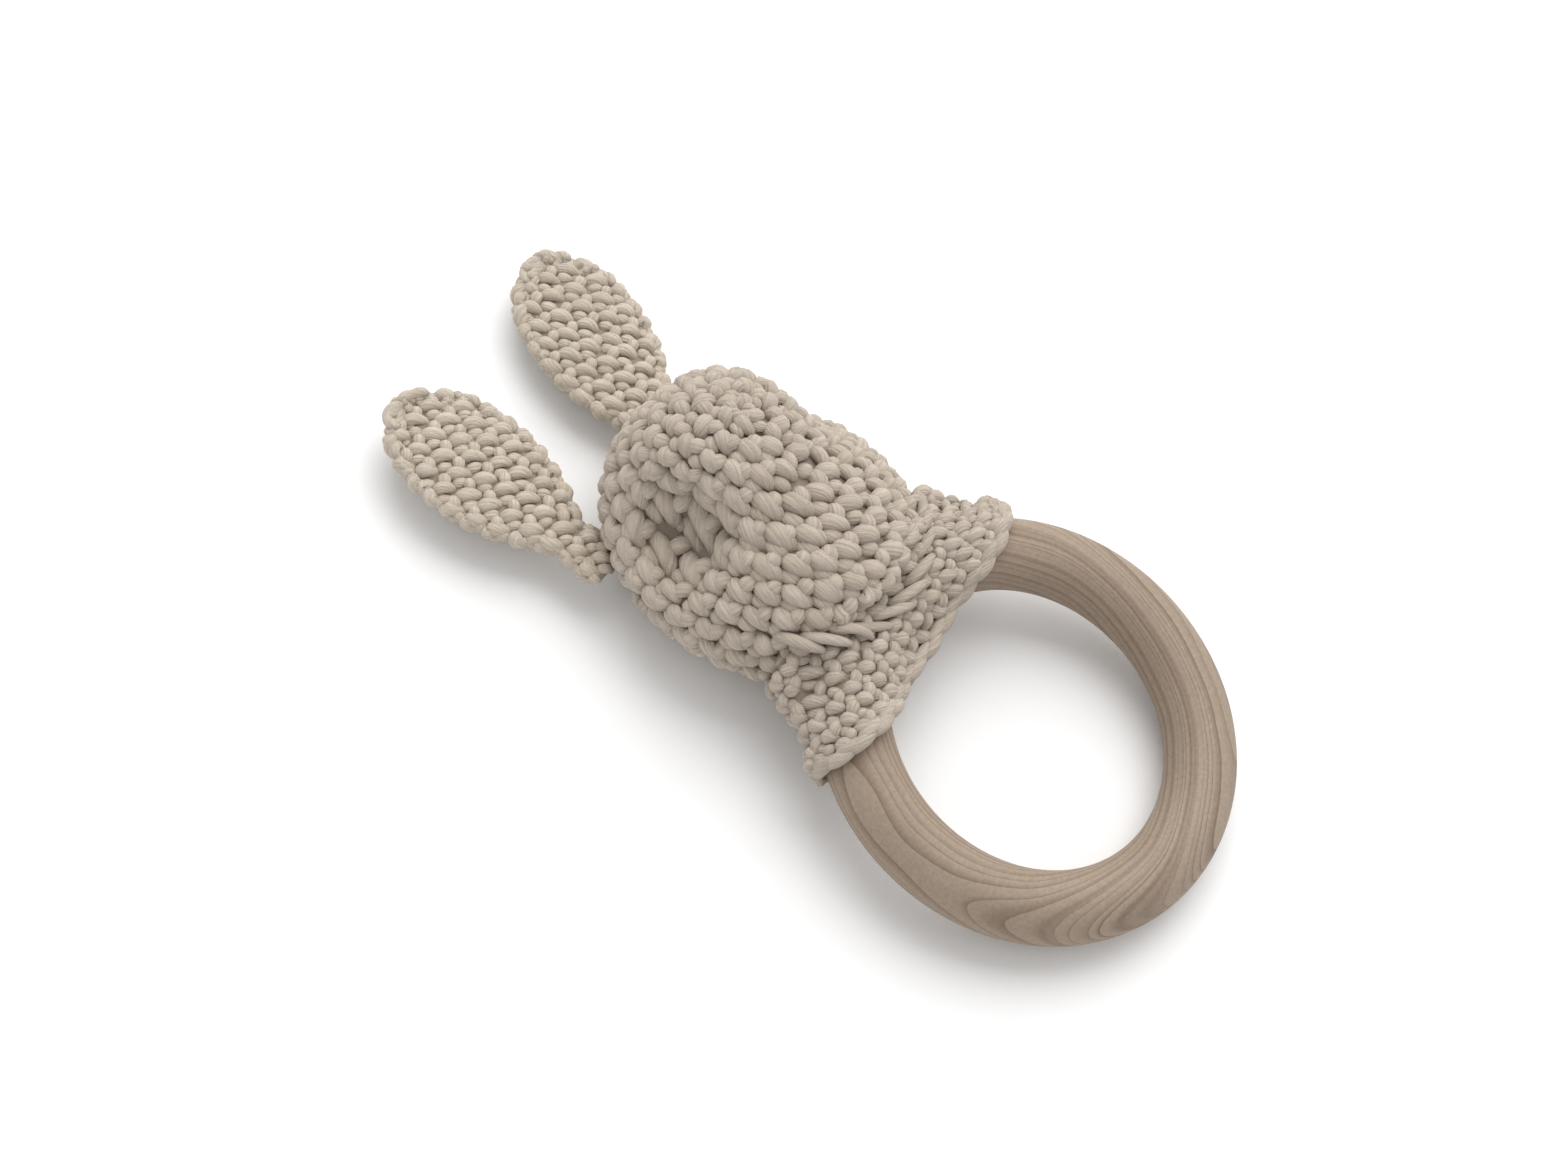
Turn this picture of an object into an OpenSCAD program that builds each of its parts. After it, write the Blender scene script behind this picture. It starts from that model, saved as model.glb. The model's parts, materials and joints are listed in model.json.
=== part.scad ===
// Teething ring: a turned beech ring held in the folded crochet flap of a stuffed rabbit head with two ears.
// The toy lies on its back: +Z is up from the table, +Y runs from the ring to the ears.

/* [Ring] */
// Outside diameter of the wooden ring
ring_od = 70; // [68:0.5:72]
// Thickness of the ring's round section
ring_section = 11.5; // [11:0.1:12]
// Angle by which the rabbit's end of the ring is raised off the table
ring_pitch = 7.3; // [6.5:0.1:8]

/* [Crochet flap] */
// Thickness of the crocheted fabric
fabric_t = 2.2; // [2:0.1:2.4]
// Room between the wood and the fabric that is folded round it
ring_clearance = 0.3; // [0.25:0.05:0.4]
// Distance from the ring's centre to the folded edge, at the middle
fold_y = 19.4; // [18.9:0.1:20]
// Half of the flap's width at the tips of its two wings
wing_x = 30.5; // [30:0.5:31.5]

/* [Head] */
// Width of the stuffed head
head_w = 48.4; // [47:0.2:50]
// Height of the snout's tip above the table
snout_z = 36; // [35:0.2:37]
// How deep the eye sockets are drawn in
socket_depth = 3.6; // [2:0.2:4.4]
// Wall of the crocheted head cover
cover_t = 2.4; // [2.2:0.1:2.8]

/* [Ears] */
// Length of the right ear beyond the place where it bends
right_ear_l = 34.6; // [34:0.2:37]
// Length of the left ear beyond the place where it bends
left_ear_l = 35; // [31:0.5:35]
// Width of an ear at its widest
ear_w = 21.5; // [19:0.5:22.5]
// Thickness of an ear at its thickest
ear_t = 5.4; // [4.8:0.2:5.6]
// Angle by which the left ear leans out
left_ear_spread = 23.4; // [20:0.2:26]
// Angle by which the right ear leans the same way
right_ear_lean = 3.4; // [0:0.2:6]

/* [Hidden] */
ring_r = ring_section / 2;
ring_R = ring_od / 2 - ring_r;
ring_z = ring_R * sin(ring_pitch) + ring_r;
tunnel_r = ring_r + ring_clearance;
sleeve_r = tunnel_r + fabric_t;

// Ears: half-thickness and play at the bend, and where each bends, measured from the ring's centre
ear_base_r = 2.2;
ear_gap = 0.35;
right_hinge = [-18.1, 76.2, 7.5];
left_hinge = [8.6, 78, 6];

// The model's origin is under the middle of the whole toy
back_y = ring_R * cos(ring_pitch) + ring_r;
mid_y = (right_hinge[1] + right_ear_l * cos(right_ear_lean) - back_y) / 2;

// Lobes of the head: centre and half-axes
head_x = -0.5;
base_c = [head_x, 51.3, 12.6];
base_r = [head_w / 2, 27, 13.4];
snout_r = [17.4, 16.4, 16.4];
snout_c = [head_x + 1, 60.8, snout_z - snout_r[2]];
chest_c = [head_x - 0.9, 43, 16];
chest_r = [18.9, 18.6, 14.8];
lobe_blend = 6;
right_socket = [head_x - 14.5, 61, 22.5];
left_socket = [head_x + 16, 61, 20.5];
socket_r = 6.5;
head_core = [head_x, 51, 14];
head_reach = 46;
stuffing_gap = 0.25;

// Flap: its half-thickness away from the ring, its far edge under the head, and its grid
web_h = 2.5;
flap_top_y = 36.5;
flap_x = -0.7;
fold_slope = 0.06;
wing_curl = 0.014;
wing_start = 12;
flap_neck_x = 22.8;
flap_nu = 32;
flap_nv = 9;
tunnel_turns = 96;
tunnel_sides = 32;

// ---- helpers: signed distances, blends and the surface along a ray

function ratio(a, b) = [a[0] / b[0], a[1] / b[1], a[2] / b[2]];
function lobe(p, c, r) = let (q = ratio(p - c, r), k = norm(q), g = norm(ratio(q, r)))
    g < 1e-6 ? -min(r) : k * (k - 1) / g;
function blend_min(a, b, k) = let (h = max(k - abs(a - b), 0) / k) min(a, b) - h * h * k / 4;
function dent(p, c) = socket_depth * exp(-pow(norm(p - c) / socket_r, 2));

// Position in the ring's own tilted frame
function to_ring(p) = let (q = p - [0, 0, ring_z])
    [q[0], q[1] * cos(ring_pitch) + q[2] * sin(ring_pitch), q[2] * cos(ring_pitch) - q[1] * sin(ring_pitch)];
function from_ring(q) = [q[0], q[1] * cos(ring_pitch) - q[2] * sin(ring_pitch),
    q[2] * cos(ring_pitch) + q[1] * sin(ring_pitch) + ring_z];
function from_core_line(p) = let (q = to_ring(p)) norm([norm([q[0], q[1]]) - ring_R, q[2]]);

function head_shape(p) = blend_min(blend_min(lobe(p, base_c, base_r), lobe(p, snout_c, snout_r), lobe_blend),
    lobe(p, chest_c, chest_r), lobe_blend) + dent(p, right_socket) + dent(p, left_socket);
// The head set in by a wall, and kept clear of the fabric round the ring
function head_field(p, wall) = max(head_shape(p) + wall, sleeve_r + wall - from_core_line(p));

function reach(c, d, wall, lo = 1, hi = head_reach, n = 13) = let (m = (lo + hi) / 2)
    n == 0 ? m : head_field(c + m * d, wall) < 0 ? reach(c, d, wall, m, hi, n - 1) : reach(c, d, wall, lo, m, n - 1);

// Top or bottom of the head along a vertical line
function skin_z(x, y, side, lo = 0, hi = 30, n = 12) = let (m = (lo + hi) / 2)
    n == 0 ? head_core[2] + side * m :
    min(head_shape([x, y, head_core[2] + side * m]), from_core_line([x, y, head_core[2] + side * m]) - sleeve_r) < 0
        ? skin_z(x, y, side, m, hi, n - 1) : skin_z(x, y, side, lo, m, n - 1);

// ---- helpers: closed meshes

function grid_faces(rows, cols) = [for (i = [0 : rows - 2]) for (j = [0 : cols - 1])
    let (a = i * cols + j, b = i * cols + (j + 1) % cols) each [[a, b, b + cols], [a, b + cols, a + cols]]];

// Rings of points with a point at each end: the points run clockwise as seen from the first end
module closed_loft(first, rings, last) {
    cols = len(rings[0]);
    rows = len(rings);
    points = concat([for (r = rings) each r], [first, last]);
    ends = [for (j = [0 : cols - 1]) let (k = (j + 1) % cols, b = (rows - 1) * cols)
        each [[rows * cols, k, j], [rows * cols + 1, b + j, b + k]]];
    polyhedron(points = points, faces = concat(grid_faces(rows, cols), ends));
}

// Head surface set in by a wall, as rings of latitude round a vertical line
module head_solid(wall, nu, nv) {
    rays = [for (i = [1 : nv - 1]) [for (j = [0 : nu - 1]) let (a = 180 * i / nv, b = 360 * j / nu)
        [sin(a) * cos(b), sin(a) * sin(b), cos(a)]]];
    closed_loft(head_core + [0, 0, reach(head_core, [0, 0, 1], wall)],
        [for (ring = rays) [for (d = ring) head_core + d * reach(head_core, d, wall)]],
        head_core - [0, 0, reach(head_core, [0, 0, -1], wall)]);
}

// Tube of yarn through a list of points
module yarn(path, r, sides = 8) {
    n = len(path);
    sections = [for (i = [0 : n - 1]) let (t = path[min(i + 1, n - 1)] - path[max(i - 1, 0)], w = t / norm(t),
        u0 = cross(w, [0, 0, 1]), u = u0 / norm(u0), v = cross(w, u))
        [for (j = [0 : sides - 1]) path[i] + r * (u * cos(360 * j / sides) - v * sin(360 * j / sides))]];
    closed_loft(path[0], sections, path[n - 1]);
}

module placed() {
    translate([0, -mid_y, 0]) children();
}

module in_ring_frame() {
    translate([0, 0, ring_z]) rotate([ring_pitch, 0, 0]) children();
}

// ---- wooden ring

module wooden_ring() {
    color("#cdb28f") placed() in_ring_frame()
        rotate_extrude($fn = 180) translate([ring_R, 0]) circle(ring_r, $fn = 64);
}

// ---- crochet flap folded round the ring

// The folded edge slopes a little and curls back to the head at both wings; the sides draw in to the head
function fold_edge(x) = fold_y + fold_slope * x + wing_curl * pow(max(0, abs(x) - wing_start), 2);
function flap_half(v) = wing_x - 1.2 + (flap_neck_x - wing_x + 1.2) * pow(v, 0.8) + 1.6 * sin(180 * min(1, 3 * v));
function flap_xy(u, v) = let (x = flap_x + u * flap_half(v)) [x, fold_edge(x) + v * (flap_top_y - fold_edge(x))];
function rim(u, v) = 0.45 + 0.55 * sqrt(max(0, 1 - pow(max(0, abs(u) - 0.9) / 0.1, 2)));
function flap_h(q) = let (d = abs(norm(q) - ring_R), bulge = d < sleeve_r ? sqrt(sleeve_r * sleeve_r - d * d) : 0)
    -blend_min(-bulge, -web_h, 2);

module flap_solid() {
    us = [for (i = [0 : flap_nu]) sin(90 * (2 * i / flap_nu - 1))];
    rows = [for (j = [0 : flap_nv]) [for (side = [1, -1])
        for (k = [0 : flap_nu]) let (u = us[side > 0 ? flap_nu - k : k], v = j / flap_nv, q = flap_xy(u, v))
            from_ring([q[0], q[1], side * flap_h(q) * rim(u, v)])]];
    n = 2 * (flap_nu + 1);
    last = flap_nv * n;
    caps = [for (k = [0 : flap_nu - 1]) let (a = k, b = k + 1, c = n - 2 - k, d = n - 1 - k)
        each [[a, c, b], [a, d, c], [last + a, last + b, last + c], [last + a, last + c, last + d]]];
    polyhedron(points = [for (r = rows) each r], faces = concat(grid_faces(flap_nv + 1, n), caps));
}

// Tunnel that the ring runs in, with flat facets, as the flap's own surface has
module tunnel() {
    points = [for (i = [0 : tunnel_turns - 1]) let (a = 360 * (i + 0.5) / tunnel_turns)
        for (j = [0 : tunnel_sides - 1]) let (b = 360 * (j + 0.5) / tunnel_sides, d = ring_R + tunnel_r * cos(b))
            [d * cos(a), d * sin(a), tunnel_r * sin(b)]];
    polyhedron(points = points, faces = [for (i = [0 : tunnel_turns - 1]) for (j = [0 : tunnel_sides - 1])
        let (k = (j + 1) % tunnel_sides, n = (i + 1) % tunnel_turns, s = tunnel_sides)
            [i * s + j, i * s + k, n * s + k, n * s + j]]);
}

module ring_wrap() {
    color("#ddd0bb") placed() difference() {
        flap_solid();
        in_ring_frame() tunnel();
    }
}

// ---- stuffed head

module head_cover() {
    color("#ddd0bb") placed() difference() {
        intersection() {
            head_solid(0, 40, 22);
            translate([-50, 0, 0]) cube([100, 100, 60]);
        }
        head_solid(cover_t, 28, 16);
    }
}

module head_stuffing() {
    color("white") placed() head_solid(cover_t + stuffing_gap, 28, 16);
}

// ---- sewing yarn

// Where the head cover meets the flap, seen from above
seam_r = 1.2;
function seam_xy(a) = [head_x + 19.5 * sin(a), 39.5 - 13 * pow(cos(a), 1.4)];

module neck_seam() {
    color("#d3c5ae") placed()
        yarn([for (a = [-84 : 8 : 84]) let (q = seam_xy(a)) [q[0], q[1], skin_z(q[0], q[1], 1) + 0.2]], seam_r);
}

// Row of stitches that closes the folded flap on the head's back
module wrap_back_seam() {
    color("#d3c5ae") placed()
        yarn([for (x = [-17 : 2 : 14]) [x, 38, max(skin_z(x, 38, -1) + 0.4, seam_r + 0.05)]], seam_r);
}

// Yarn drawn through the head from socket to socket, which pulls the sockets in
draw_r = 0.9;

module eye_draw_yarn() {
    inset = [socket_depth, 0, -socket_depth];
    color("#d3c5ae") placed()
        yarn([right_socket + inset, (right_socket + left_socket) / 2 - [0, 0, 6],
            left_socket + [-inset[0], 0, inset[2]]], draw_r, 10);
}

// ---- ears

module at_ear(hinge, lean) {
    placed() translate(hinge) rotate([0, 0, -lean]) children();
}

function ear_half_w(s, length) = let (q = s / (0.5 * length), foot = 3.5, wide = ear_w / 2)
    q < 0 ? foot : q < 1 ? foot + (wide - foot) * pow(sin(90 * q), 0.75) : wide * pow(1 - pow(q - 1, 2.6), 0.62);
function ear_half_t(s, length) = s < 0 ? sqrt(max(0, ear_base_r * ear_base_r - s * s)) :
    let (q = s / length) (ear_base_r + (ear_t / 2 - ear_base_r) * sin(180 * min(1, 1.3 * q)))
        * pow(1 - pow(q, 5), 0.5);

// Flat crocheted ear: leaf-shaped, gathered at the foot, round where it bends
module ear(length) {
    foot_s = [for (a = [80, 55, 28]) -ear_base_r * sin(a)];
    blade_s = [for (i = [0 : 13]) length * 0.985 * sin(90 * i / 13)];
    rings = [for (s = concat(foot_s, blade_s)) let (w = ear_half_w(s, length), t = ear_half_t(s, length))
        [for (j = [0 : 15]) let (a = 22.5 * j, c = cos(a), z = sin(a))
            [w * sign(c) * pow(abs(c), 0.8), s, t * sign(z) * pow(abs(z), 0.8)]]];
    closed_loft([0, -ear_base_r, 0], rings, [0, length, 0]);
}

// Gathered foot of the ear, sewn into the head; its end is hollowed round the bend
module ear_root(length) {
    difference() {
        hull() {
            translate([0, -ear_base_r - 0.9, 0]) scale([1.25, 0.9, 0.9]) sphere(2.6, $fn = 24);
            translate([0, -length, 0]) scale([1.35, 1, 1]) sphere(2.8, $fn = 24);
        }
        rotate([0, 90, 0]) cylinder(h = 12, r = ear_base_r + ear_gap, center = true, $fn = 64);
    }
}

module right_ear() {
    color("#dccdb2") at_ear(right_hinge, right_ear_lean) ear(right_ear_l);
}

module left_ear() {
    color("#dccdb2") at_ear(left_hinge, left_ear_spread) ear(left_ear_l);
}

module right_ear_root() {
    color("#d3c5ae") at_ear(right_hinge, right_ear_lean) ear_root(7.4);
}

module left_ear_root() {
    color("#d3c5ae") at_ear(left_hinge, left_ear_spread) ear_root(3.4);
}

wooden_ring();
head_cover();
head_stuffing();
ring_wrap();
neck_seam();
wrap_back_seam();
eye_draw_yarn();
right_ear_root();
left_ear_root();
right_ear();
left_ear();
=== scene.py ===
"""Looks for a teething ring: a turned beech ring and a crocheted rabbit head with two flat ears.

Every crocheted surface is a cloth of rounds laid over its CAD solid. Each stitch is three short lengths of
yarn: a broad pad, a smaller pad that shows below it, and a post beside them.
"""
import json
import math

import bpy
import numpy as np
from mathutils import Matrix, Vector
from mathutils.bvhtree import BVHTree


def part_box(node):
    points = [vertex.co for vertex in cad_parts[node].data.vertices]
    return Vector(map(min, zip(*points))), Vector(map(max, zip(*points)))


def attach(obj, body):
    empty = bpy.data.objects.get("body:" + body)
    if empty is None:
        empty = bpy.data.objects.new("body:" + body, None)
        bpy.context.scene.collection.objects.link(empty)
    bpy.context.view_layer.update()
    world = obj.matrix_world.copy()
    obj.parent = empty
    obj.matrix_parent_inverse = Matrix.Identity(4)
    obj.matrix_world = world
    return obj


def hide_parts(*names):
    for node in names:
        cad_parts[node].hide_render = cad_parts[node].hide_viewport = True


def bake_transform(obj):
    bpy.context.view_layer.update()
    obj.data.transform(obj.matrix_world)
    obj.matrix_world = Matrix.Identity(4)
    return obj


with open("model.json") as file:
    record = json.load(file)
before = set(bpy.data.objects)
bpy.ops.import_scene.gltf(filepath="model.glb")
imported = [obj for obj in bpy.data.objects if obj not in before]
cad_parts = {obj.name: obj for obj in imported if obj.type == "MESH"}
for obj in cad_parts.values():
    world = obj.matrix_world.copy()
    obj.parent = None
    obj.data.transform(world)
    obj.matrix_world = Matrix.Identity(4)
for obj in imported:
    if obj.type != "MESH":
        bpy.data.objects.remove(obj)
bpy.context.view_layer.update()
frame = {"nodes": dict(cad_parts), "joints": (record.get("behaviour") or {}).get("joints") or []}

MM = 0.001
rng = np.random.default_rng(11)

# ---- the CAD facts that the looks are worked out from, in millimetres

JOINTS = {j["name"]: j for j in frame["joints"]}
RING_CENTRE = np.array(JOINTS["ring_turn"]["pos_m"]) / MM
RING_AXIS = np.array(JOINTS["ring_turn"]["axis"], float)
X_AXIS = np.array([1.0, 0.0, 0.0])
RING_UP = np.cross(RING_AXIS, X_AXIS)
RING_SECTION = 11.5
RING_R = (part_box("wooden_ring")[1].x / MM) - RING_SECTION / 2


def box_mm(node):
    low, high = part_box(node)
    return np.array(low) / MM, np.array(high) / MM


# ---- rays on the CAD solids


class Solid:
    """Ray tests on a CAD node, in millimetres."""

    def __init__(self, *nodes):
        points, faces = [], []
        for name in nodes:
            mesh = frame["nodes"][name].data
            base = len(points)
            points += [v.co / MM for v in mesh.vertices]
            faces += [[base + i for i in p.vertices] for p in mesh.polygons]
        self.tree = BVHTree.FromPolygons(points, faces)

    def hit(self, origin, direction, far=200.0):
        """First point met by a ray, or None."""
        found = self.tree.ray_cast(Vector(origin), Vector(direction), far)[0]
        return None if found is None else np.array(found)

    def skin(self, centre, direction, out=80.0):
        """Outermost point of the solid seen from a centre in one direction."""
        direction = np.asarray(direction, float)
        return self.hit(centre + direction * out, -direction, out)


def unit(v):
    return v / np.maximum(np.linalg.norm(v, axis=-1, keepdims=True), 1e-12)


def resample(line, count, closed):
    """Points at equal steps along a line."""
    line = np.vstack([line, line[:1]]) if closed else line
    run = np.concatenate([[0], np.cumsum(np.linalg.norm(np.diff(line, axis=0), axis=1))])
    steps = np.linspace(0, run[-1], count, endpoint=not closed)
    return np.stack([np.interp(steps, run, line[:, k]) for k in range(3)], 1)


def soften(grid, passes):
    """Averages neighbours, so that the CAD solid's facets don't show."""
    for _ in range(passes):
        around = (np.roll(grid, 1, 1) + np.roll(grid, -1, 1)) / 2
        grid = (grid + around) / 2
        inner = (grid[:-2] + grid[2:]) / 2
        grid[1:-1] = (grid[1:-1] + inner) / 2
    return grid


# ---- cloth: rounds over a surface


class Cloth:
    """A periodic grid of points. A place on it is (row, turn): row counts rounds, turn runs from 0 to 1."""

    def __init__(self, grid, rows):
        self.grid = grid
        self.rows = rows
        self.per_row = (len(grid) - 1) / rows
        steps = np.roll(grid, -1, 1) - grid
        self.length = np.linalg.norm(steps, axis=2).sum(1)

    def at(self, row, turn):
        g = self.grid
        a = np.clip(row * self.per_row, 0, len(g) - 1.001)
        b = (turn % 1.0) * g.shape[1]
        i, j = a.astype(int), b.astype(int) % g.shape[1]
        k = (j + 1) % g.shape[1]
        fa, fb = (a - i)[..., None], (b - np.floor(b))[..., None]
        low = g[i, j] * (1 - fb) + g[i, k] * fb
        high = g[i + 1, j] * (1 - fb) + g[i + 1, k] * fb
        return low * (1 - fa) + high * fa

    def round_length(self, row):
        return np.interp(row * self.per_row, np.arange(len(self.grid)), self.length)

    def normal(self, row, turn):
        """Outward: the rounds run so that down-cloth cross along-round points out."""
        along = self.at(row, turn + 0.006) - self.at(row, turn - 0.006)
        down = self.at(row + 0.22, turn) - self.at(row - 0.22, turn)
        return unit(np.cross(down, along))

    def down_step(self, row, turn):
        return np.linalg.norm(self.at(row + 0.5, turn) - self.at(row - 0.5, turn), axis=-1)


# ---- yarn: many short lengths swept at once

# Height of a length of yarn as a part of its width
YARN_FLATNESS = 0.86
# How unevenly the stitches are placed, as a part of a cell, and how much their thickness varies
UNEVEN = 0.035
THICKNESS_SPREAD = 0.05
STITCH_SECTIONS = 9


class YarnBuilder:
    """Collects short lengths of yarn and makes one mesh of them."""

    def __init__(self):
        self.parts = []

    def sweep(self, path, normal, radius, sides=9):
        """path, normal: (n, sections, 3) arrays; radius: (n, sections). Both ends are closed with a tip."""
        tangent = unit(np.gradient(path, axis=1))
        across = unit(np.cross(tangent, normal))
        over = np.cross(across, tangent)
        angle = np.linspace(0, 2 * math.pi, sides, endpoint=False)
        wide = radius[..., None, None] * np.cos(angle)[:, None] * across[:, :, None, :]
        high = radius[..., None, None] * YARN_FLATNESS * np.sin(angle)[:, None] * over[:, :, None, :]
        skin = path[:, :, None, :] + wide + high
        n, m = path.shape[:2]
        run = np.concatenate(
            [np.zeros((n, 1)), np.cumsum(np.linalg.norm(np.diff(path, axis=1), axis=2), axis=1)], 1
        )
        seed = rng.uniform(0, 1, (n, 1, 1))
        fibre = np.stack(
            [
                np.broadcast_to(run[..., None], (n, m, sides)),
                np.broadcast_to(np.cos(angle), (n, m, sides)),
                np.broadcast_to(np.sin(angle), (n, m, sides)),
            ],
            -1,
        )
        tip = np.stack([path[:, 0], path[:, -1]], 1)
        push = np.stack([-tangent[:, 0] * radius[:, :1], tangent[:, -1] * radius[:, -1:]], 1) * 0.5
        tips = tip + push
        points = np.concatenate([skin.reshape(n, -1, 3), tips], 1)
        tip_fibre = np.zeros((n, 2, 3))
        tip_fibre[:, 1, 0] = run[:, -1]
        fibres = np.concatenate([fibre.reshape(n, -1, 3), tip_fibre], 1)
        shade = np.broadcast_to(seed[:, 0], (n, points.shape[1]))
        quads = []
        for i in range(m - 1):
            for j in range(sides):
                k = (j + 1) % sides
                quads.append([i * sides + j, i * sides + k, (i + 1) * sides + k, (i + 1) * sides + j])
        triangles = []
        last = (m - 1) * sides
        for j in range(sides):
            k = (j + 1) % sides
            triangles.append([m * sides, k, j])
            triangles.append([m * sides + 1, last + j, last + k])
        self.parts.append((points, np.array(quads), np.array(triangles), fibres, shade))

    def mesh(self, name):
        points, quads, triangles, fibres, shades = [], [], [], [], []
        base = 0
        for p, q, t, f, s in self.parts:
            count, each = p.shape[:2]
            offset = base + np.arange(count)[:, None, None] * each
            quads.append((q[None] + offset).reshape(-1, 4))
            triangles.append((t[None] + offset).reshape(-1, 3))
            points.append(p.reshape(-1, 3))
            fibres.append(f.reshape(-1, 3))
            shades.append(s.reshape(-1))
            base += count * each
        points = np.concatenate(points) * MM
        quads, triangles = np.concatenate(quads), np.concatenate(triangles)
        mesh = bpy.data.meshes.new(name)
        mesh.vertices.add(len(points))
        mesh.vertices.foreach_set("co", points.astype(np.float32).ravel())
        loops = np.concatenate([quads.ravel(), triangles.ravel()])
        mesh.loops.add(len(loops))
        mesh.loops.foreach_set("vertex_index", loops.astype(np.int32))
        starts = np.concatenate([np.arange(len(quads)) * 4, len(quads) * 4 + np.arange(len(triangles)) * 3])
        mesh.polygons.add(len(starts))
        mesh.polygons.foreach_set("loop_start", starts.astype(np.int32))
        mesh.update(calc_edges=True)
        mesh.validate()
        mesh.polygons.foreach_set("use_smooth", np.ones(len(mesh.polygons), bool))
        fibre = mesh.attributes.new("fibre", "FLOAT_VECTOR", "POINT")
        fibre.data.foreach_set("vector", np.concatenate(fibres).astype(np.float32).ravel())
        shade = mesh.attributes.new("strand", "FLOAT", "POINT")
        shade.data.foreach_set("value", np.concatenate(shades).astype(np.float32))
        return mesh


def bezier(points, sections):
    """Smooth paths, each through three points: (n, 3, 3) in, (n, sections, 3) out."""
    t = np.linspace(0, 1, sections)[None, :, None]
    a, b, c = (points[:, k : k + 1] for k in range(3))
    mid = 2 * b - (a + c) / 2
    return a * (1 - t) ** 2 + mid * 2 * t * (1 - t) + c * t**2


def taper(count, sections, ends=0.4, skew=0.0):
    """Radius along a length of yarn: full near the middle and drawn in at both ends."""
    t = np.linspace(-1, 1, sections)
    t = t + skew * (1 - t**2)
    shape = ends + (1 - ends) * (1 - np.abs(t) ** 2.1) ** 0.6
    return np.broadcast_to(shape, (count, sections)).copy()


def strands(yarn, starts, middles, ends, normals, radius, sections=13, blunt=0.55):
    """Single lengths of sewing yarn, each through three points."""
    points = np.stack([starts, middles, ends], 1)
    path = bezier(points, sections)
    up = np.broadcast_to(normals[:, None], path.shape)
    size = np.broadcast_to(np.asarray(radius, float), (len(points),))
    size = size * rng.normal(1, THICKNESS_SPREAD, len(points))
    yarn.sweep(path, up, size[:, None] * taper(len(points), sections, ends=blunt), sides=10)


# Each length of yarn in a stitch: centre and half-length in (along, down) parts of a cell, radius as a part of
# the cell's size, how far below the surface its middle and its ends lie (in radii), and its middle's shift.
SLANTED = {
    "pad": dict(centre=(0.0, 0.0), half=(0.40, 0.34), r=0.30, sink=0.85, dive=2.0, arch=(0.05, -0.11)),
    "under": dict(centre=(-0.27, 0.25), half=(0.25, 0.20), r=0.255, sink=1.5, dive=2.2, arch=(0, 0.02)),
    "post": dict(centre=(-0.66, -0.30), half=(-0.23, 0.25), r=0.265, sink=0.95, dive=2.3, arch=(0.02, 0.02)),
}


def stitches(cloth, yarn, pitch, size=1.0):
    """Lays a stitch on every cell of every round, each round half a stitch on from the last."""
    rows, turns, counts = [], [], []
    for row in range(cloth.rows):
        middle = row + 0.5
        count = max(5, int(round(float(cloth.round_length(middle)) / pitch)))
        start = (row * 0.5) % 1.0
        for k in range(count):
            rows.append(middle)
            turns.append((k + start) / count)
            counts.append(count)
    rows, turns, counts = np.array(rows), np.array(turns), np.array(counts)
    rows = rows + rng.normal(0, UNEVEN, len(rows))
    turns = turns + rng.normal(0, UNEVEN, len(rows)) / counts
    n = len(rows)
    width = cloth.round_length(rows) / counts
    height = cloth.down_step(rows, turns)
    cell = np.sqrt(width * np.clip(height, 0.6 * width, 1.4 * width)) * size
    for part in SLANTED.values():
        centre, half = np.array(part["centre"]), np.array(part["half"])
        wobble = rng.normal(0, UNEVEN, (n, 3, 2))
        offsets = np.stack([centre - half, centre + np.array(part["arch"]), centre + half])[None] + wobble
        radius = part["r"] * cell * rng.normal(1, THICKNESS_SPREAD, n)
        depth = np.stack([part["dive"] * radius, part["sink"] * radius, part["dive"] * radius], 1)
        row = rows[:, None] + offsets[..., 1]
        turn = turns[:, None] + offsets[..., 0] / counts[:, None]
        normal = cloth.normal(row, turn)
        places = cloth.at(row, turn) - normal * depth[..., None]
        path = bezier(places, STITCH_SECTIONS)
        up = np.broadcast_to(normal[:, 1:2], path.shape)
        yarn.sweep(path, up, radius[:, None] * taper(n, STITCH_SECTIONS, skew=0.18))


# ---- the rounds of each crocheted piece


# Where the eye sockets are drawn in, measured from the point on the table under the ring's centre
RIGHT_SOCKET = np.array([-15.0, 59.5, 23.0])
LEFT_SOCKET = np.array([16.0, 59.5, 21.0])
# How much deeper than in CAD they are drawn in, and how wide each dent is across, along and up
RIGHT_DENT, LEFT_DENT = 3.4, 2.8
DENT_SIZE = np.array([5.2, 7.5, 9.0])


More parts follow.
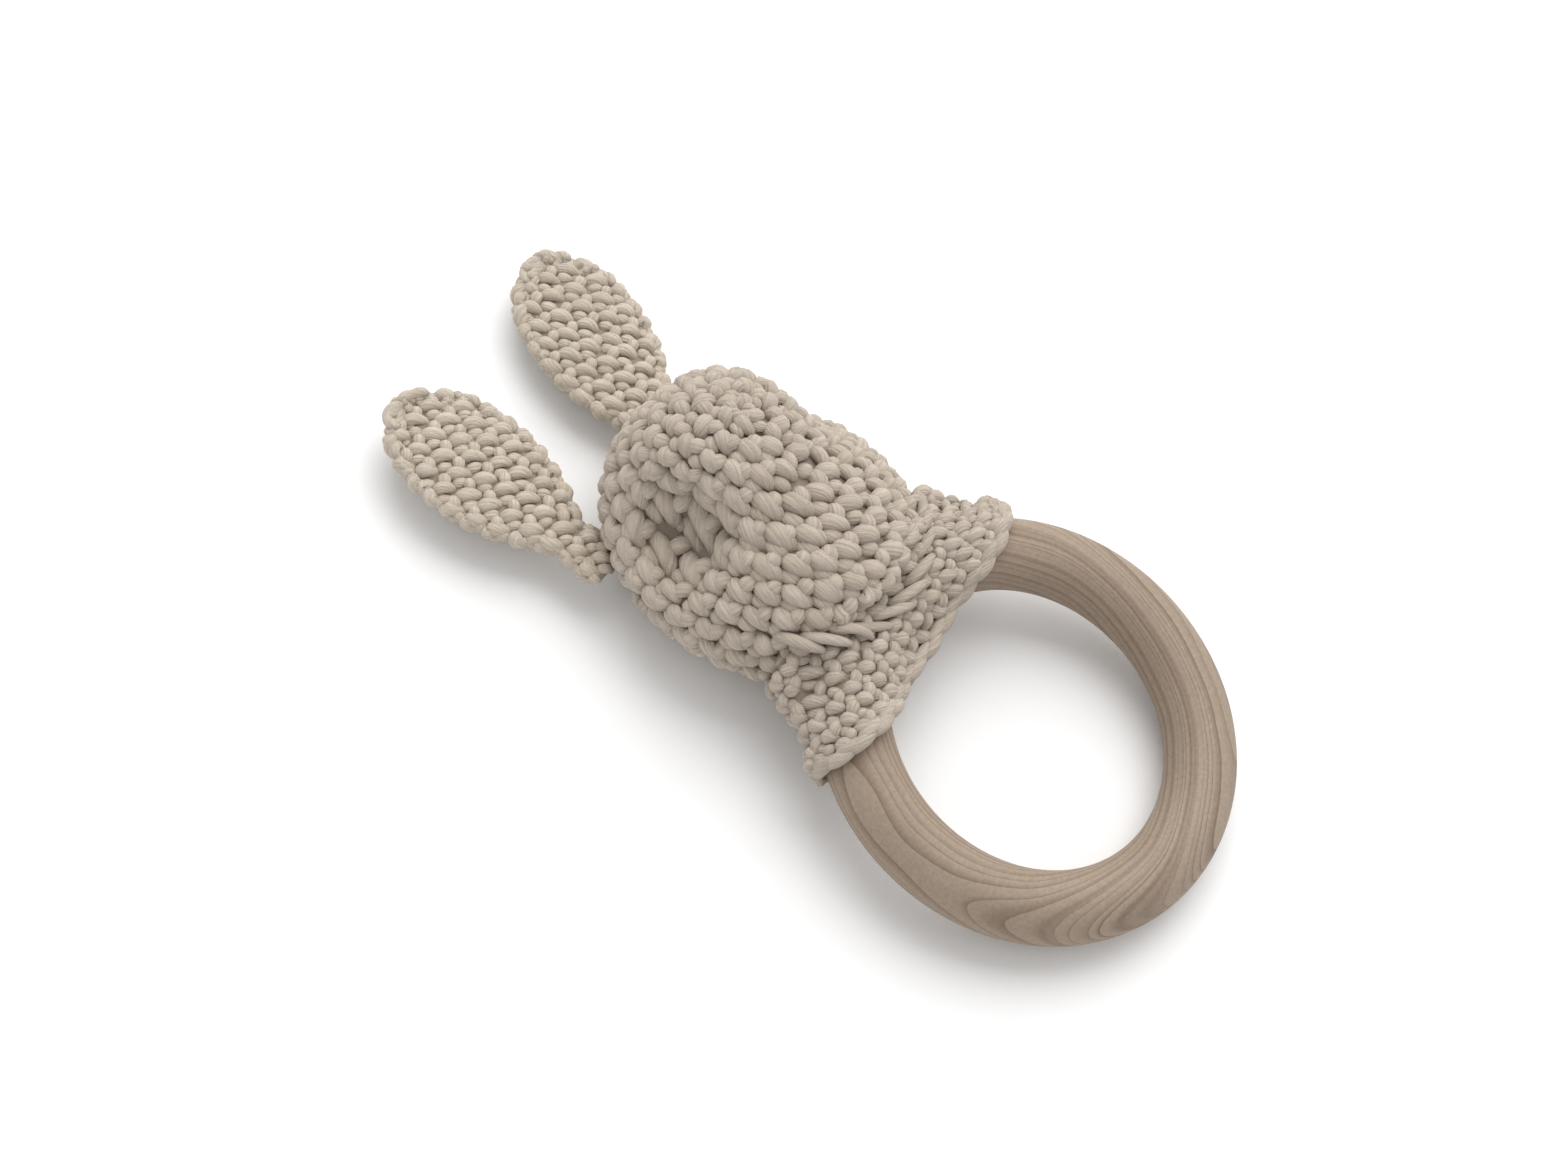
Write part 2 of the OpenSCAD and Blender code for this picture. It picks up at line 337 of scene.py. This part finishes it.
def head_cloth():
    """Rounds from the snout's tip to the middle of the head's back."""
    solid = Solid("head_cover")
    low, high = box_mm("head_cover")
    core = np.array([(low[0] + high[0]) / 2, high[1] - 27.3, 14.0])
    tip = solid.skin(core, unit(np.array([2.0, 10.6, 21.0])))
    pole = unit(tip - core)
    side = unit(np.cross([0.0, 1.0, 0.0], pole))
    front = np.cross(pole, side)
    turns, steps, rows = 192, 90, 16
    lines = []
    for k in range(turns):
        a = 2 * math.pi * k / turns
        heading = math.cos(a) * side + math.sin(a) * front
        line = [
            solid.skin(core, math.cos(b) * pole + math.sin(b) * heading)
            for b in np.linspace(0.02, math.pi - 0.02, steps)
        ]
        lines.append(resample(np.array(line), rows * 6 + 1, False))
    grid = np.array(lines).transpose(1, 0, 2)
    grid = np.stack([resample(ring, turns, True) for ring in grid])
    cloth = Cloth(soften(grid, 3), rows)
    rr, tt = np.meshgrid(np.arange(len(grid)) / cloth.per_row, np.arange(turns) / turns, indexing="ij")
    normal = cloth.normal(rr, tt)
    inward = np.zeros(rr.shape)
    for socket, depth in ((RIGHT_SOCKET, RIGHT_DENT), (LEFT_SOCKET, LEFT_DENT)):
        away = (cloth.grid - RING_CENTRE * [1, 1, 0] - socket) / DENT_SIZE
        inward += depth * np.exp(-(away**2).sum(2))
    return Cloth(cloth.grid - normal * inward[..., None], rows)


# Half-widths and half-thicknesses of an ear: the outline of part.scad with a slightly fuller foot
EAR_FOOT, EAR_FOOT_T = 4.5, 2.3
EAR_WIDE, EAR_T = 10.75, 2.7
EAR_ROUND = 3.75


def ear_cloth(ear, root):
    """Rounds from the ear's tip, past the bend, to the gathered foot inside the head."""
    joint = JOINTS[ear + "_flop"]
    bend = np.array(joint["pos_m"]) / MM
    across = unit(np.array(joint["axis"], float))
    upward = np.array([0.0, 0.0, 1.0])
    along = np.cross(upward, across)
    length = max((np.array(v.co) / MM - bend) @ along for v in frame["nodes"][ear].data.vertices)
    inner = min((np.array(v.co) / MM - bend) @ along for v in frame["nodes"][root].data.vertices)
    rows = int(round((length - inner) / EAR_ROUND))
    angle = np.linspace(0, 2 * math.pi, 96, endpoint=False)
    c, z = np.cos(angle), -np.sin(angle)
    loops = []
    for s in np.linspace(length - 0.1, inner + 0.6, rows * 6 + 1):
        q = np.clip(s / (0.5 * length), 0, 2)
        if q < 1:
            half_w = EAR_FOOT + (EAR_WIDE - EAR_FOOT) * math.sin(math.pi / 2 * q) ** 0.75
        else:
            half_w = EAR_WIDE * (1 - (q - 1) ** 2.6) ** 0.62
        full = math.sin(math.pi * min(1, 0.65 * q))
        half_t = (EAR_FOOT_T + (EAR_T - EAR_FOOT_T) * full) * math.sqrt(1 - (q / 2) ** 5)
        x = half_w * np.sign(c) * np.abs(c) ** 0.8
        h = half_t * np.sign(z) * np.abs(z) ** 0.8
        loop = bend + s * along + x[:, None] * across + h[:, None] * upward
        loops.append(resample(loop, 96, True))
    return Cloth(soften(np.array(loops), 1), rows)


# The flap's outline, as it is drawn in part.scad: the folded edge, which curls back at both wings, the far edge
# under the head, the half-widths, and the half-thicknesses of the flat web and of the sleeve round the ring
FOLD_Y, FOLD_SLOPE = 19.4, 0.06
WING_CURL, WING_START = 0.014, 12.0
FLAP_TOP, FLAP_X = 36.5, -0.7
FLAP_WING, FLAP_NECK = 30.5, 22.8
FLAP_WEB, SLEEVE = 2.5, 8.25
FLAP_ROWS = 6
# How far the flap swells out where it meets the head
NECK_SWELL = 6.0


def in_ring_frame(x, y, height):
    return RING_CENTRE + x[..., None] * X_AXIS + y[..., None] * RING_UP + height[..., None] * RING_AXIS


def flap_outline(u, v):
    """Place on the flap in the ring's plane: u runs from wing to wing, v from the folded edge to the head."""
    swell = 1.6 * np.sin(math.pi * np.minimum(1, 3 * v))
    half = FLAP_WING - 1.2 + (FLAP_NECK - FLAP_WING + 1.2) * np.clip(v, 0, 1) ** 0.8 + swell
    x = FLAP_X + u * half
    edge = FOLD_Y + FOLD_SLOPE * x + WING_CURL * np.maximum(0, np.abs(x) - WING_START) ** 2
    return x, edge + v * (FLAP_TOP - edge)


def flap_height(x, y):
    """Half the flap's thickness: the ring's sleeve blended into the flat web beside it."""
    from_line = np.abs(np.hypot(x, y) - RING_R)
    bulge = np.sqrt(np.maximum(SLEEVE**2 - from_line**2, 0))
    near = np.maximum(2 - np.abs(bulge - FLAP_WEB), 0) / 2
    return np.maximum(bulge, FLAP_WEB) + near**2 / 2


def wrap_cloth():
    """Rounds of the flattened tube that holds the ring, from the head to the folded edge."""
    fan = np.sin(np.linspace(-1, 1, 121) * math.pi / 2)
    loops = []
    for v in np.linspace(0.985, 0.0, FLAP_ROWS * 6 + 1):
        x, y = flap_outline(fan, np.full(len(fan), v))
        rim = 0.45 + 0.55 * np.sqrt(1 - (np.maximum(0, np.abs(fan) - 0.9) / 0.1) ** 2)
        swell = np.clip((v - 0.5) / 0.5, 0, 1)
        height = flap_height(x, y) * rim + NECK_SWELL * swell**2 * (3 - 2 * swell) * (1 - fan**4)
        loop = np.vstack([in_ring_frame(x, y, height), in_ring_frame(x, y, -height)[::-1]])
        loops.append(resample(loop, 200, True))
    return Cloth(soften(np.array(loops), 1), FLAP_ROWS)


def smooth_mesh(name, points, faces):
    """Smooth mesh from points in millimetres."""
    mesh = bpy.data.meshes.new(name)
    mesh.from_pydata((points * MM).tolist(), [], faces)
    mesh.polygons.foreach_set("use_smooth", np.ones(len(mesh.polygons), bool))
    return mesh


def skin_mesh(name, cloth, inset):
    """Closed backing under the stitches: the cloth's own grid set in."""
    rows, turns = cloth.grid.shape[:2]
    r = np.linspace(0.02, cloth.rows - 0.02, rows)
    t = np.arange(turns) / turns
    rr, tt = np.meshgrid(r, t, indexing="ij")
    places = cloth.at(rr, tt) - cloth.normal(rr, tt) * inset
    points = np.vstack([places.reshape(-1, 3), places[0].mean(0), places[-1].mean(0)])
    faces = []
    for i in range(rows - 1):
        for j in range(turns):
            k = (j + 1) % turns
            faces.append((i * turns + j, (i + 1) * turns + j, (i + 1) * turns + k, i * turns + k))
    first, last, end = rows * turns, rows * turns + 1, (rows - 1) * turns
    for j in range(turns):
        k = (j + 1) % turns
        faces.append((first, j, k))
        faces.append((last, end + k, end + j))
    return smooth_mesh(name, points, faces)


def shell_mesh(name, cloth, inset, thickness, short):
    """Pocket under the stitches: two skins, joined at the folded edge and each closed at the head's end."""
    rows, turns = cloth.grid.shape[:2]
    r = np.linspace(0.0, cloth.rows - short, rows)
    rr, tt = np.meshgrid(r, np.arange(turns) / turns, indexing="ij")
    base, normal = cloth.at(rr, tt), cloth.normal(rr, tt)
    outer = (base - normal * inset).reshape(-1, 3)
    inner = (base - normal * (inset + thickness)).reshape(-1, 3)
    count = rows * turns
    faces = []
    for j in range(turns):
        k = (j + 1) % turns
        for i in range(rows - 1):
            a, b = i * turns, (i + 1) * turns
            faces.append((a + j, b + j, b + k, a + k))
            faces.append((count + a + k, count + b + k, count + b + j, count + a + j))
        end = (rows - 1) * turns
        faces.append((end + j, count + end + j, count + end + k, end + k))
        faces.append((2 * count, j, k))
        faces.append((2 * count + 1, count + k, count + j))
    caps = np.stack([outer[:turns].mean(0), inner[:turns].mean(0) - RING_UP * thickness])
    return smooth_mesh(name, np.vstack([outer, inner, caps]), faces)


def piece(name, mesh, material):
    obj = bpy.data.objects.new(name, mesh)
    bpy.context.scene.collection.objects.link(obj)
    mesh.materials.append(material)
    return obj


# ---- materials


def new_material(name):
    material = bpy.data.materials.new(name)
    material.use_nodes = True
    tree = material.node_tree
    return material, tree.nodes, tree.links, tree.nodes["Principled BSDF"]


def cotton(name, colour, warm, contrast=1.0):
    """Undyed cotton yarn: fine twisted plies, fuzz, and a tone that differs from strand to strand."""
    material, nodes, links, shader = new_material(name)
    shader.inputs["Roughness"].default_value = 0.92
    shader.inputs["Specular IOR Level"].default_value = 0.18
    shader.inputs["Sheen Weight"].default_value = 0.12
    shader.inputs["Sheen Roughness"].default_value = 0.6
    fibre = nodes.new("ShaderNodeAttribute")
    fibre.attribute_name = "fibre"
    strand = nodes.new("ShaderNodeAttribute")
    strand.attribute_name = "strand"
    run = nodes.new("ShaderNodeSeparateXYZ")
    links.new(fibre.outputs["Vector"], run.inputs[0])
    twist = nodes.new("ShaderNodeMath")
    twist.operation = "MULTIPLY"
    twist.inputs[1].default_value = 0.42
    links.new(run.outputs["X"], twist.inputs[0])
    turned = nodes.new("ShaderNodeVectorRotate")
    turned.rotation_type = "X_AXIS"
    links.new(fibre.outputs["Vector"], turned.inputs["Vector"])
    links.new(twist.outputs[0], turned.inputs["Angle"])
    spread = nodes.new("ShaderNodeVectorMath")
    spread.operation = "MULTIPLY"
    spread.inputs[1].default_value = (0.16, 3.4, 3.4)
    links.new(turned.outputs[0], spread.inputs[0])
    shift = nodes.new("ShaderNodeVectorMath")
    shift.operation = "ADD"
    scatter = nodes.new("ShaderNodeVectorMath")
    scatter.operation = "SCALE"
    scatter.inputs["Scale"].default_value = 37.0
    links.new(strand.outputs["Fac"], scatter.inputs[0])
    links.new(spread.outputs[0], shift.inputs[0])
    links.new(scatter.outputs[0], shift.inputs[1])
    plies = nodes.new("ShaderNodeTexNoise")
    plies.inputs["Scale"].default_value = 1.0
    plies.inputs["Detail"].default_value = 3.0
    plies.inputs["Roughness"].default_value = 0.6
    links.new(shift.outputs[0], plies.inputs["Vector"])
    place = nodes.new("ShaderNodeTexCoord")
    fuzz = nodes.new("ShaderNodeTexNoise")
    fuzz.inputs["Scale"].default_value = 2600.0
    fuzz.inputs["Detail"].default_value = 4.0
    links.new(place.outputs["Object"], fuzz.inputs["Vector"])
    tone = nodes.new("ShaderNodeMix")
    tone.data_type = "RGBA"
    tone.inputs["A"].default_value = (*colour, 1)
    tone.inputs["B"].default_value = (*warm, 1)
    links.new(strand.outputs["Fac"], tone.inputs["Factor"])
    ramp = nodes.new("ShaderNodeMapRange")
    ramp.inputs["From Min"].default_value = 0.3
    ramp.inputs["From Max"].default_value = 0.7
    ramp.inputs["To Min"].default_value = 1 - 0.26 * contrast
    ramp.inputs["To Max"].default_value = 1 + 0.08 * contrast
    links.new(plies.outputs["Fac"], ramp.inputs["Value"])
    shade = nodes.new("ShaderNodeVectorMath")
    shade.operation = "SCALE"
    links.new(tone.outputs["Result"], shade.inputs[0])
    links.new(ramp.outputs["Result"], shade.inputs["Scale"])
    links.new(shade.outputs[0], shader.inputs["Base Color"])
    bump_plies = nodes.new("ShaderNodeBump")
    bump_plies.inputs["Strength"].default_value = 0.75
    bump_plies.inputs["Distance"].default_value = 0.0006
    links.new(plies.outputs["Fac"], bump_plies.inputs["Height"])
    bump_fuzz = nodes.new("ShaderNodeBump")
    bump_fuzz.inputs["Strength"].default_value = 0.5
    bump_fuzz.inputs["Distance"].default_value = 0.00025
    links.new(fuzz.outputs["Fac"], bump_fuzz.inputs["Height"])
    links.new(bump_plies.outputs["Normal"], bump_fuzz.inputs["Normal"])
    links.new(bump_fuzz.outputs["Normal"], shader.inputs["Normal"])
    return material


# Growth lines of the wood, in metres
LINE_SPACING = 0.00105


def beech(name):
    """Sanded beech: layers through the board that show as growth lines on the ring, and fine pores."""
    material, nodes, links, shader = new_material(name)
    shader.inputs["Roughness"].default_value = 0.62
    shader.inputs["Specular IOR Level"].default_value = 0.25
    place = nodes.new("ShaderNodeTexCoord")
    centre = nodes.new("ShaderNodeMapping")
    centre.vector_type = "TEXTURE"
    lean = math.atan2(-RING_AXIS[1], RING_AXIS[2])
    centre.inputs["Location"].default_value = (*(RING_CENTRE * MM),)
    centre.inputs["Rotation"].default_value = (lean, 0, 0)
    links.new(place.outputs["Object"], centre.inputs["Vector"])
    drift = nodes.new("ShaderNodeTexNoise")
    drift.inputs["Scale"].default_value = 26.0
    drift.inputs["Detail"].default_value = 2.0
    links.new(centre.outputs[0], drift.inputs["Vector"])
    split = nodes.new("ShaderNodeSeparateXYZ")
    links.new(centre.outputs[0], split.inputs[0])

    def maths(operation, a, b=None):
        node = nodes.new("ShaderNodeMath")
        node.operation = operation
        for socket, value in ((node.inputs[0], a), (node.inputs[1], b)):
            if value is None:
                continue
            if isinstance(value, (int, float)):
                socket.default_value = value
            else:
                links.new(value, socket)
        return node.outputs[0]

    x = maths("ADD", split.outputs["X"], 0.003)
    y = maths("ADD", split.outputs["Y"], -0.002)
    radial = maths("SQRT", maths("ADD", maths("MULTIPLY", x, x), maths("MULTIPLY", y, y)))
    slope = maths("ADD", maths("MULTIPLY", x, 0.10), maths("MULTIPLY", y, -0.07))
    layers = maths("ADD", maths("MULTIPLY", radial, 0.8), maths("MULTIPLY", split.outputs["Z"], 0.65))
    lines = maths("ADD", maths("ADD", layers, slope), maths("MULTIPLY", drift.outputs["Fac"], 0.0055))
    wander = nodes.new("ShaderNodeTexNoise")
    wander.noise_dimensions = "1D"
    wander.inputs["Scale"].default_value = 420.0
    wander.inputs["Detail"].default_value = 2.0
    links.new(lines, wander.inputs["W"])
    uneven = maths("MULTIPLY", wander.outputs["Fac"], 2.2)
    count = maths("ADD", maths("MULTIPLY", lines, 1 / LINE_SPACING), uneven)
    rise = maths("POWER", maths("FRACT", count), 3.2)
    depth = maths("MULTIPLY", rise, maths("ADD", maths("MULTIPLY", wander.outputs["Fac"], 1.2), 0.15))
    pores = nodes.new("ShaderNodeTexNoise")
    pores.inputs["Scale"].default_value = 1700.0
    pores.inputs["Detail"].default_value = 3.0
    links.new(centre.outputs[0], pores.inputs["Vector"])
    cloud = nodes.new("ShaderNodeTexNoise")
    cloud.inputs["Scale"].default_value = 90.0
    links.new(centre.outputs[0], cloud.inputs["Vector"])
    base = nodes.new("ShaderNodeMix")
    base.data_type = "RGBA"
    base.inputs["A"].default_value = (0.315, 0.243, 0.182, 1)
    base.inputs["B"].default_value = (0.355, 0.282, 0.218, 1)
    links.new(cloud.outputs["Fac"], base.inputs["Factor"])
    lined = nodes.new("ShaderNodeMix")
    lined.data_type = "RGBA"
    lined.inputs["B"].default_value = (0.175, 0.122, 0.085, 1)
    links.new(base.outputs["Result"], lined.inputs["A"])
    links.new(depth, lined.inputs["Factor"])
    grain = maths("ADD", maths("MULTIPLY", pores.outputs["Fac"], 0.45), 0.78)
    shade = nodes.new("ShaderNodeVectorMath")
    shade.operation = "SCALE"
    links.new(lined.outputs["Result"], shade.inputs[0])
    links.new(grain, shade.inputs["Scale"])
    links.new(shade.outputs[0], shader.inputs["Base Color"])
    bump = nodes.new("ShaderNodeBump")
    bump.inputs["Strength"].default_value = 0.3
    bump.inputs["Distance"].default_value = 0.0001
    links.new(maths("SUBTRACT", pores.outputs["Fac"], rise), bump.inputs["Height"])
    links.new(bump.outputs["Normal"], shader.inputs["Normal"])
    return material


COTTON = cotton("undyed_cotton", (0.56, 0.485, 0.405), (0.52, 0.445, 0.365))
# Painted light: the ears get a lighter copy of the head's undyed cotton
LIT_EAR_COTTON = cotton("undyed_cotton_ears_lit", (0.64, 0.56, 0.465), (0.60, 0.515, 0.415))
# Painted shade: the undyed cotton darkened, for a sheet under the stitches that stands for the shade in the
# gaps between them
SHADE_SHEET_COTTON = cotton("undyed_cotton_shade_sheet", (0.30, 0.245, 0.195), (0.28, 0.225, 0.175), 0.4)
FILLING = cotton("fibre_filling", (0.8, 0.79, 0.76), (0.78, 0.77, 0.74), 0.3)
BEECH = beech("sanded_beech")

# ---- wooden ring


def ring_mesh(around=288, section=56):
    """The turned ring again, finer than the CAD mesh, so that the growth lines run smoothly."""
    a = np.linspace(0, 2 * math.pi, around, endpoint=False)[:, None]
    b = np.linspace(0, 2 * math.pi, section, endpoint=False)[None, :]
    radius = RING_R + RING_SECTION / 2 * np.cos(b)
    x, y = radius * np.cos(a), radius * np.sin(a)
    points = in_ring_frame(x, y, np.broadcast_to(RING_SECTION / 2 * np.sin(b), x.shape)).reshape(-1, 3)
    faces = []
    for i in range(around):
        j = (i + 1) % around
        for k in range(section):
            m = (k + 1) % section
            faces.append((i * section + k, j * section + k, j * section + m, i * section + m))
    return smooth_mesh("wooden_ring_turned", points, faces)


ring = piece("wooden_ring_turned", ring_mesh(), BEECH)
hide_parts("wooden_ring")
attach(ring, "ring")

# ---- head: stitches, a dark sheet of painted shade behind them, and the filling


def dress(obj, body):
    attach(obj, body)
    return obj


HEAD_STITCH, FLAP_STITCH, EAR_STITCH = 4.9, 4.5, 4.0

head = head_cloth()
yarn = YarnBuilder()
stitches(head, yarn, HEAD_STITCH, size=1.06)
head_yarn = dress(piece("head_crochet", yarn.mesh("head_crochet"), COTTON), "rabbit")
dress(piece("head_shade_sheet", skin_mesh("head_shade_sheet", head, 2.2), SHADE_SHEET_COTTON), "rabbit")
head_fill = dress(piece("head_filling", skin_mesh("head_filling", head, 3.1), FILLING), "rabbit")
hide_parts("head_cover")
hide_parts("head_stuffing")

# ---- flap: stitches, the edge round its mouth, and a dark sheet of painted shade under them

wrap = wrap_cloth()
yarn = YarnBuilder()
stitches(wrap, yarn, FLAP_STITCH, size=1.04)


CHAIN_PITCH, CHAIN_RADIUS = 5.0, 1.08


def mouth_spot(turn, row, depth):
    """Places just below the flap's surface near its folded edge, and the way out of it."""
    where = np.full(len(turn), row)
    normal = wrap.normal(np.minimum(where, wrap.rows - 0.4), turn)
    return wrap.at(where, turn) - normal * depth, normal


def mouth_edge(yarn):
    """Chain stitches along the folded edge: each link is two legs that lie side by side like a braid."""
    count = int(wrap.round_length(wrap.rows) / CHAIN_PITCH)
    turn = (np.arange(count) + 0.3) / count
    for row, side, half_link in ((wrap.rows - 0.24, 1, 0.0), (wrap.rows, -1, 0.5)):
        start, up = mouth_spot(turn + (half_link - 0.55) / count, row + 0.10 * side, 1.5)
        middle, _ = mouth_spot(turn + half_link / count, row - 0.06 * side, 0.75)
        end, _ = mouth_spot(turn + (half_link + 0.65) / count, row + 0.10 * side, 1.4)
        strands(yarn, start, middle, end, up, CHAIN_RADIUS)


mouth_edge(yarn)
wrap_yarn = dress(piece("wrap_crochet", yarn.mesh("wrap_crochet"), COTTON), "rabbit")
pocket = shell_mesh("wrap_shade_sheet", wrap, 1.45, 0.4, 0.1)
dress(piece("wrap_shade_sheet", pocket, SHADE_SHEET_COTTON), "rabbit")
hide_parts("ring_wrap")

# ---- sewing yarn: round the neck, along the back and through the eye sockets

covered = Solid("head_cover", "ring_wrap")
HEAD_X = -0.5


def seam_line(count):
    """Where the head meets the flap: (count, 3) points on the skin, along the arc of part.scad's neck seam."""
    a = np.linspace(-84, 84, count) * math.pi / 180
    x = HEAD_X + 19.5 * np.sin(a)
    y = 39.5 - 13 * np.cos(a) ** 1.4 + RING_CENTRE[1]
    return np.array([covered.hit([px, py, 60], [0, 0, -1]) for px, py in zip(x, y)])


def overcast(yarn, line, step, span, wide, radius, sink=1.0):
    """Slanted stitches that overlap along a seam, each from one side of it to the other."""
    line = resample(line, 400, False)
    run = np.concatenate([[0], np.cumsum(np.linalg.norm(np.diff(line, axis=0), axis=1))])
    tangent = unit(np.gradient(line, axis=0))
    out = unit(np.cross(tangent, np.cross([0.0, 0.0, 1.0], tangent)))
    across = np.cross(out, tangent)

    def spot(s, side, height):
        k = np.clip(np.interp(s, run, np.arange(len(run))).astype(int), 0, len(run) - 1)
        return line[k] + across[k] * side + out[k] * height, out[k]

    starts = np.arange(0, run[-1] - span, step)
    starts = starts + rng.normal(0, 0.25, len(starts))
    a, up = spot(starts, wide, -sink)
    b, _ = spot(starts + span * 0.45, 0.1 * wide, 0.35)
    c, _ = spot(starts + span, -wide, -sink)
    strands(yarn, a, b, c, up, radius)


yarn = YarnBuilder()
overcast(yarn, seam_line(90), 4.6, 7.5, 1.4, 0.9, sink=0.9)
neck = dress(piece("neck_seam_stitches", yarn.mesh("neck_seam_stitches"), COTTON), "rabbit")
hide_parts("neck_seam")

yarn = YarnBuilder()
back_low, back_high = box_mm("wrap_back_seam")
back_y = (back_low[1] + back_high[1]) / 2
back_line = np.array([[x, back_y, 1.3] for x in np.linspace(back_low[0], back_high[0], 60)])
back_line[:, 2] = [max(1.2, covered.hit(p + [0, 0, -30], [0, 0, 1])[2] + 1.0) for p in back_line]
overcast(yarn, back_line[::-1], 4.2, 5.0, 1.6, 0.8, sink=0.3)
back = dress(piece("wrap_back_stitches", yarn.mesh("wrap_back_stitches"), COTTON), "rabbit")
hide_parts("wrap_back_seam")

yarn = YarnBuilder()
draw_low = box_mm("eye_draw_yarn")[0]
draw = np.array([v.co for v in frame["nodes"]["eye_draw_yarn"].data.vertices]) / MM
ends = np.array([draw[draw[:, 0].argmin()], draw[draw[:, 0].argmax()]])
middle = (ends[0] + ends[1]) / 2
middle[2] = draw_low[2] + 0.9
strands(yarn, ends[:1], middle[None], ends[1:], np.array([[0.0, 1.0, 0.0]]), 0.9, sections=33, blunt=0.8)
eye_draw = dress(piece("eye_draw_strand", yarn.mesh("eye_draw_strand"), COTTON), "rabbit")
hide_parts("eye_draw_yarn")

# ---- ears

for side in ("right", "left"):
    ear, root = side + "_ear", side + "_ear_root"
    cloth = ear_cloth(ear, root)
    yarn = YarnBuilder()
    stitches(cloth, yarn, EAR_STITCH)
    # The ear's yarn is a lighter copy of the head's cotton: painted light
    ear_yarn = piece(ear + "_crochet", yarn.mesh(ear + "_crochet"), LIT_EAR_COTTON)
    # A dark sheet of painted shade under the ear's stitches
    ear_back = piece(ear + "_shade_sheet", skin_mesh(ear + "_shade_sheet", cloth, 1.5), SHADE_SHEET_COTTON)
    for part in (ear_yarn, ear_back):
        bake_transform(part)
    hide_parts(ear, root)

# ---- stage, light and camera

# The camera's own axes, its distance, its lens, and where the ring lies in its picture, in millimetres
CAMERA_BACK = np.array([-0.5054, -0.0990, 0.8572])
CAMERA_RIGHT = np.array([0.5328, -0.8169, 0.2198])
CAMERA_UP = np.cross(CAMERA_BACK, CAMERA_RIGHT)
CAMERA_DISTANCE = 450.0
LENS = 67.8
RING_RIGHT, RING_BELOW = 40.02, 21.98


def add_camera():
    """Looks at the toy from above its right side, with the ring to the right of the picture's middle."""
    data = bpy.data.cameras.new("camera")
    data.sensor_width = 36.0
    data.lens = LENS
    camera = bpy.data.objects.new("camera", data)
    bpy.context.scene.collection.objects.link(camera)
    place = RING_CENTRE - RING_RIGHT * CAMERA_RIGHT + RING_BELOW * CAMERA_UP + CAMERA_DISTANCE * CAMERA_BACK
    turn = Matrix((CAMERA_RIGHT, CAMERA_UP, CAMERA_BACK)).transposed().to_4x4()
    camera.matrix_world = Matrix.Translation(Vector(place * MM)) @ turn
    data.clip_start = 0.01
    bpy.context.scene.camera = camera


def add_floor():
    mesh = bpy.data.meshes.new("floor")
    mesh.from_pydata([(-3, -3, 0), (3, -3, 0), (3, 3, 0), (-3, 3, 0)], [], [(0, 1, 2, 3)])
    floor = bpy.data.objects.new("floor", mesh)
    bpy.context.scene.collection.objects.link(floor)
    material, _, _, shader = new_material("pale_floor")
    shader.inputs["Base Color"].default_value = (0.93, 0.93, 0.93, 1)
    shader.inputs["Roughness"].default_value = 0.9
    mesh.materials.append(material)


def add_area(name, place, size, power):
    """Soft light that faces the toy."""
    light = bpy.data.lights.new(name, "AREA")
    light.size = size
    light.energy = power
    obj = bpy.data.objects.new(name, light)
    bpy.context.scene.collection.objects.link(obj)
    obj.location = place
    obj.rotation_euler = (Vector(place) - Vector((0, 0, 0.01))).to_track_quat("Z", "Y").to_euler()


def add_world(strength):
    world = bpy.data.worlds.new("studio")
    world.use_nodes = True
    world.node_tree.nodes["Background"].inputs["Color"].default_value = (1, 1, 1, 1)
    world.node_tree.nodes["Background"].inputs["Strength"].default_value = strength
    bpy.context.scene.world = world


add_camera()
add_floor()
add_world(0.72)
add_area("key", (0.75, 0.35, 1.2), 1.5, 20.0)
bpy.context.scene.view_settings.view_transform = "Standard"
